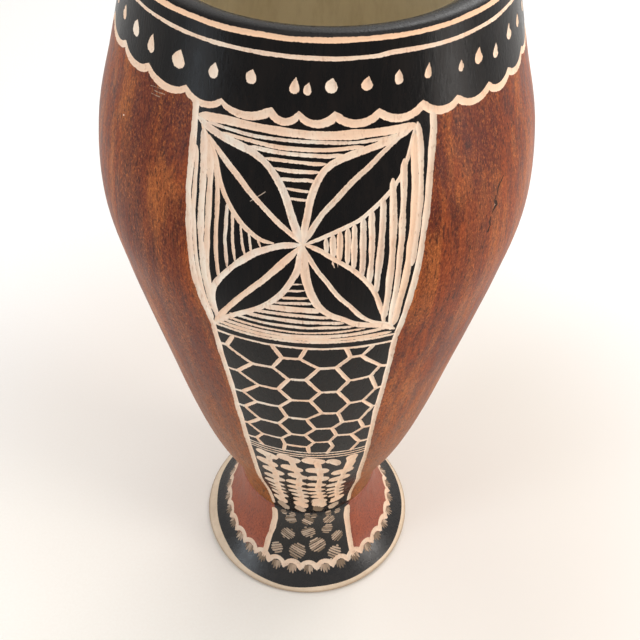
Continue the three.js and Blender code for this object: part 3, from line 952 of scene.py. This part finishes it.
# Noise by name: frequency along X, Y and Z per metre, detail, roughness and distortion
NOISES = {
    "speck": ((1900, 1900, 950), 4, 0.78, 0),
    "pore": ((1500, 1500, 260), 3, 0.62, 0),
    "streak": ((380, 380, 10), 5, 0.65, 0.3),
    "band": ((165, 165, 4), 3, 0.55, 0.15),
    "cloud": ((40, 40, 7), 2, 0.5, 0),
    "patch": ((210, 210, 120), 2, 0.5, 0),
    "fibre": ((1300, 1300, 260), 3, 0.65, 0),
    "ragged": ((1500, 1500, 600), 3, 0.6, 0),
    "paper": ((900, 900, 900), 2, 0.5, 0),
}
BODY_TINTS = {
    "dark": srgb(86, 30, 11), "mid": srgb(140, 62, 24), "light": srgb(171, 95, 42),
    "plum": srgb(86, 33, 25), "fleck": srgb(212, 122, 58), "pore": srgb(42, 15, 6),
    "low": srgb(159, 98, 46), "raw": srgb(226, 213, 184), "raw pale": srgb(237, 226, 199),
    "raw streak": srgb(201, 185, 152),
}
FOOT_TINTS = {
    "dark": srgb(108, 44, 24), "mid": srgb(148, 70, 40), "light": srgb(154, 73, 44),
    "plum": srgb(112, 52, 44), "fleck": srgb(186, 100, 66), "pore": srgb(90, 38, 24),
    "low": srgb(154, 73, 44), "raw": srgb(212, 190, 164), "raw pale": srgb(224, 202, 176),
    "raw streak": srgb(188, 162, 134),
}
BLACK = srgb(10, 8, 8)
CUT = srgb(246, 231, 213)

# Layers of colour, each with its mask, the mask's range, the shares at the range's ends, and a tint
STAIN_LAYERS = [
    ("streak", 0.32, 0.66, 0, 1, "mid"),
    ("band", 0.44, 0.68, 0, 0.7, "light"),
    ("cloud", 0.5, 0.66, 0, 0.65, "plum"),
    # Painted light: the height layer makes the lower body paler, standing in for light bounced up from
    # the floor.
    ("height", 0.18, 0.07, 0, 0.55, "low"),
]
PORE_LAYERS = [("speck", 0.32, 0.5, 0.75, 0, "pore"), ("pore", 0.52, 0.68, 0, 0.75, "pore")]
BLACK_LAYERS = [
    ("streak", 0.4, 0.7, 0, 1, srgb(20, 15, 13)),
    ("speck", 0.62, 0.78, 0, 0.55, srgb(74, 48, 32)),
]
RAW_LAYERS = [
    ("cloud", 0.35, 0.65, 0, 1, "raw pale"),
    ("streak", 0.4, 0.75, 0, 0.35, "raw streak"),
    ("height", 0.2795, 0.283, 0, 1, srgb(84, 74, 54)),
    # Painted shade: the lowest part of the foot's bare edge is darker where the ring turns under towards
    # the floor.
    ("height", 0.0023, 0.0012, 0, 1, srgb(142, 112, 84)),
]
CUT_LAYERS = [
    ("patch", 0.35, 0.65, 0, 1, srgb(241, 213, 191)),
    ("cloud", 0.45, 0.65, 0, 0.4, srgb(238, 206, 176)),
    # Painted shade: the height layer darkens the cuts towards the foot, where the lower body faces down
    # into shade.
    ("height", 0.17, 0.075, 0, 0.5, srgb(206, 174, 144)),
    ("fibre", 0.54, 0.74, 0, 0.55, srgb(182, 136, 108)),
]
# Layers in the cuts by tone: scraped, warm and dark
TONE_LAYERS = [
    ("MULTIPLY", 1.0, srgb(128, 108, 88)),
    ("MULTIPLY", -0.7, srgb(242, 198, 162)),
    ("SUBTRACT", 1.3, srgb(62, 47, 40)),
]
WOOD_GLOSS, BLACK_GLOSS, RAW_GLOSS, CUT_GLOSS = 0.38, 0.27, 0.7, 0.8
BODY_SHINE, FOOT_SHINE = 0.1, 0.4
PORE_DEPTH, STREAK_DEPTH = 0.00012, 0.0003
FLOOR_FRONT = srgb(253, 249, 241)
# Painted shade on the floor: the y and x layers darken it towards the back and the right to even out the
# lamps' light; the distance layer pales it into the room and the paper layer adds grain.
FLOOR_GRAIN_AND_PAINTED_SHADE = [
    ("y", -0.08, 0.11, 0, 1, srgb(238, 231, 224)),
    ("x", -0.05, 0.11, 0, 1, srgb(231, 225, 217)),
    ("distance", 0.12, 0.3, 0, 1, srgb(250, 249, 247)),
    ("paper", 0.3, 0.7, 0, 0.12, srgb(236, 226, 214)),
]
FLOOR_GLOSS, FLOOR_SHINE = 0.95, 0.05
PALE_ROOM = srgb(252, 250, 248)
HAZE = 0.75


class Nodes:
    """Short calls for the nodes of a material or of the world."""

    def __init__(self, owner):
        owner.use_nodes = True
        self.tree = owner.node_tree

    def new(self, kind, inputs, **settings):
        node = self.tree.nodes.new(kind)
        for key, value in settings.items():
            setattr(node, key, value)
        self.fill(node, inputs)
        return node

    def fill(self, node, inputs):
        """Give each named or numbered input its link or its value."""
        for key, value in inputs.items():
            if isinstance(value, bpy.types.NodeSocket):
                self.tree.links.new(value, node.inputs[key])
            else:
                node.inputs[key].default_value = value

    def place(self):
        return self.new("ShaderNodeTexCoord", {}).outputs["Object"]

    def along(self, axis):
        return self.new("ShaderNodeSeparateXYZ", {0: self.place()}).outputs[axis]

    def mask(self, name):
        return self.new("ShaderNodeAttribute", {}, attribute_name=name).outputs["Fac"]

    def math(self, operation, a, b, clamp=False):
        return self.new("ShaderNodeMath", {0: a, 1: b}, operation=operation, use_clamp=clamp).outputs[0]

    def noise(self, name):
        frequency, detail, roughness, distortion = NOISES[name]
        place = self.new("ShaderNodeVectorMath", {0: self.place(), 1: frequency}, operation="MULTIPLY")
        inputs = {"Vector": place.outputs[0], "Scale": 1, "Detail": detail, "Roughness": roughness}
        return self.new("ShaderNodeTexNoise", {**inputs, "Distortion": distortion}).outputs["Fac"]

    def range(self, value, low, high, to_low=0, to_high=1, kind="SMOOTHSTEP"):
        inputs = dict(enumerate((value, low, high, to_low, to_high)))
        return self.new("ShaderNodeMapRange", inputs, interpolation_type=kind).outputs[0]

    def mix(self, share, a, b):
        """A colour between two colours."""
        return self.new("ShaderNodeMix", {0: share, 6: a, 7: b}, data_type="RGBA").outputs[2]

    def blend(self, share, a, b):
        """A number between two numbers."""
        return self.new("ShaderNodeMix", {0: share, 2: a, 3: b}, data_type="FLOAT").outputs[0]

    def bump(self, height, distance, strength, **normal):
        inputs = {"Distance": distance, "Strength": strength, "Height": height, **normal}
        return self.new("ShaderNodeBump", inputs).outputs[0]

    def background_rays(self):
        """One for a ray of the camera, of a reflection or through glass, and nothing for the rest."""
        path = self.new("ShaderNodeLightPath", {}).outputs
        seen = self.math("MAXIMUM", path["Is Camera Ray"], path["Is Glossy Ray"])
        return self.math("MAXIMUM", seen, path["Is Transmission Ray"])


def layered(n, masks, colour, layers, tints):
    """The colour with the layers over it. A tint that is a name is looked up among the tints."""
    for mask, low, high, least, most, tint in layers:
        colour = n.mix(n.range(masks[mask], low, high, least, most), colour, tints.get(tint, tint))
    return colour


def stained_wood(n, masks, tints):
    """Clear stain over grain, with flecks and pores, and paler towards the foot as painted light bounced
    from the floor.
    """
    wood = layered(n, masks, tints["dark"], STAIN_LAYERS, tints)
    specks = n.range(masks["speck"], 0.5, 0.7, 0, 0.8)
    bands = n.range(masks["band"], 0.38, 0.62, 0.45, 1)
    wood = n.mix(n.math("MULTIPLY", specks, bands), wood, tints["fleck"])
    return layered(n, masks, wood, PORE_LAYERS, tints)


def cut_wood(n, masks, tints):
    """Pale fibrous wood inside the cuts, warmer below zero tone and darker above it, and darker towards
    the foot as painted shade.
    """
    tone = n.mask("tone")
    pale = layered(n, masks, CUT, CUT_LAYERS, tints)
    for operation, amount, tint in TONE_LAYERS:
        pale = n.mix(n.math(operation, tone, amount, clamp=True), pale, tint)
    return pale


def carved_wood(name, tints, shine):
    """Stained skin, black paint, raw wood and pale cuts, by the mesh's masks."""
    material = bpy.data.materials.new(name)
    n = Nodes(material)
    masks = {key: n.noise(key) for key in NOISES if key != "paper"}
    masks["height"] = n.along("Z")
    black, raw, streak = n.mask("black"), n.mask("raw"), masks["streak"]
    skin = n.mix(black, stained_wood(n, masks, tints), layered(n, masks, BLACK, BLACK_LAYERS, tints))
    skin = n.mix(raw, skin, layered(n, masks, tints["raw"], RAW_LAYERS, tints))
    reach = n.math("ADD", n.mask("cut"), n.range(masks["ragged"], 0.3, 0.7, -0.2, 0.02, "LINEAR"))
    opened = n.range(reach, -0.03, 0.03)
    gloss = n.blend(raw, n.blend(black, WOOD_GLOSS, BLACK_GLOSS), RAW_GLOSS)
    gloss = n.math("ADD", gloss, n.range(streak, 0.3, 0.7, -0.04, 0.06))
    pores = n.bump(masks["pore"], PORE_DEPTH, 0.5)
    n.fill(n.tree.nodes["Principled BSDF"], {
        "Base Color": n.mix(opened, skin, cut_wood(n, masks, tints)),
        "Roughness": n.blend(opened, gloss, CUT_GLOSS),
        "Specular IOR Level": shine,
        "Normal": n.bump(streak, STREAK_DEPTH, n.blend(black, 0.3, 0.03), Normal=pores),
    })
    return material


def floor_paper():
    """Pale paper, warmer close to the vase, that fades into the pale room far away, with painted shade
    towards the back and the right.
    """
    material = bpy.data.materials.new("floor_paper")
    n = Nodes(material)
    distance = n.new("ShaderNodeVectorMath", {0: n.place()}, operation="LENGTH").outputs["Value"]
    masks = {"x": n.along("X"), "y": n.along("Y"), "distance": distance, "paper": n.noise("paper")}
    haze = n.range(distance, 0.65, 1.6, 0, HAZE)
    n.fill(n.tree.nodes["Principled BSDF"], {
        "Base Color": layered(n, masks, FLOOR_FRONT, FLOOR_GRAIN_AND_PAINTED_SHADE, {}),
        "Emission Color": PALE_ROOM,
        "Emission Strength": n.math("MULTIPLY", n.background_rays(), haze),
        "Roughness": FLOOR_GLOSS,
        "Specular IOR Level": FLOOR_SHINE,
    })
    return material


body.data.materials.append(carved_wood("body_wood", BODY_TINTS, BODY_SHINE))
foot.data.materials.append(carved_wood("foot_wood", FOOT_TINTS, FOOT_SHINE))


# Floor, light and camera

FLOOR_REACH = 6.0
ROOM_LIGHT = 0.45
ROOM_SEEN = 0.97
# Lamps, as name, place, target, size, power and colour
LAMPS = [
    ("ceiling", (0.2, 0.0, 1.25), (0, 0, 0.1), (1.1, 1.1), 7.8, (1.0, 0.99, 0.985)),
    ("back_window", (0.45, 1.0, 0.85), (0, 0, 0.1), (0.8, 0.5), 5.9, (1.0, 0.99, 0.98)),
    ("left_window", (-1.03, -0.52, 0.5), (0, 0, 0.22), (0.3, 1.1), 5.6, (0.81, 0.91, 1.0)),
    ("right_window", (1.08, -0.36, 0.32), (0, 0, 0.2), (0.36, 0.74), 6.9, (1.0, 0.94, 0.89)),
]
CAMERA_PLACE = (0.0, -0.243, 0.388)
# Yaw, tilt and roll in degrees
CAMERA_TURNS = [(-0.73, "Z"), (43.7, "X"), (2.05, "Z")]
LENS = 50.0
SENSOR = 36
NEAR = 0.01


def make_floor():
    reach = FLOOR_REACH
    corners = [(-reach, -reach, 0), (reach, -reach, 0), (reach, reach, 0), (-reach, reach, 0)]
    mesh = bpy.data.meshes.new("floor")
    mesh.from_pydata(corners, [], [(0, 1, 2, 3)])
    mesh.materials.append(floor_paper())
    floor = placed("floor", mesh)


def area_light(name, place, target, size, power, colour):
    light = bpy.data.lights.new(name, "AREA")
    light.shape = "RECTANGLE"
    light.size, light.size_y = size
    light.energy = power
    light.color = colour
    lamp = placed(name, light)
    lamp.location = place
    lamp.rotation_euler = (Vector(target) - Vector(place)).to_track_quat("-Z", "Y").to_euler()


def make_world():
    """Soft room light, with a paler room where the camera or a reflection looks past the floor."""
    world = bpy.data.worlds.new("soft_room")
    bpy.context.scene.world = world
    n = Nodes(world)
    strength = n.range(n.background_rays(), 0, 1, ROOM_LIGHT, ROOM_SEEN, "LINEAR")
    n.fill(n.tree.nodes["Background"], {"Color": PALE_ROOM, "Strength": strength})


def make_camera():
    data = bpy.data.cameras.new("camera")
    data.lens = LENS
    data.sensor_width = SENSOR
    data.clip_start = NEAR
    camera = placed("camera", data)
    turn = Matrix.Translation(CAMERA_PLACE)
    for angle, axis in CAMERA_TURNS:
        turn = turn @ Matrix.Rotation(math.radians(angle), 4, axis)
    camera.matrix_world = turn
    bpy.context.scene.camera = camera


make_floor()
make_world()
for lamp in LAMPS:
    area_light(*lamp)
make_camera()
bpy.context.scene.view_settings.view_transform = "Standard"
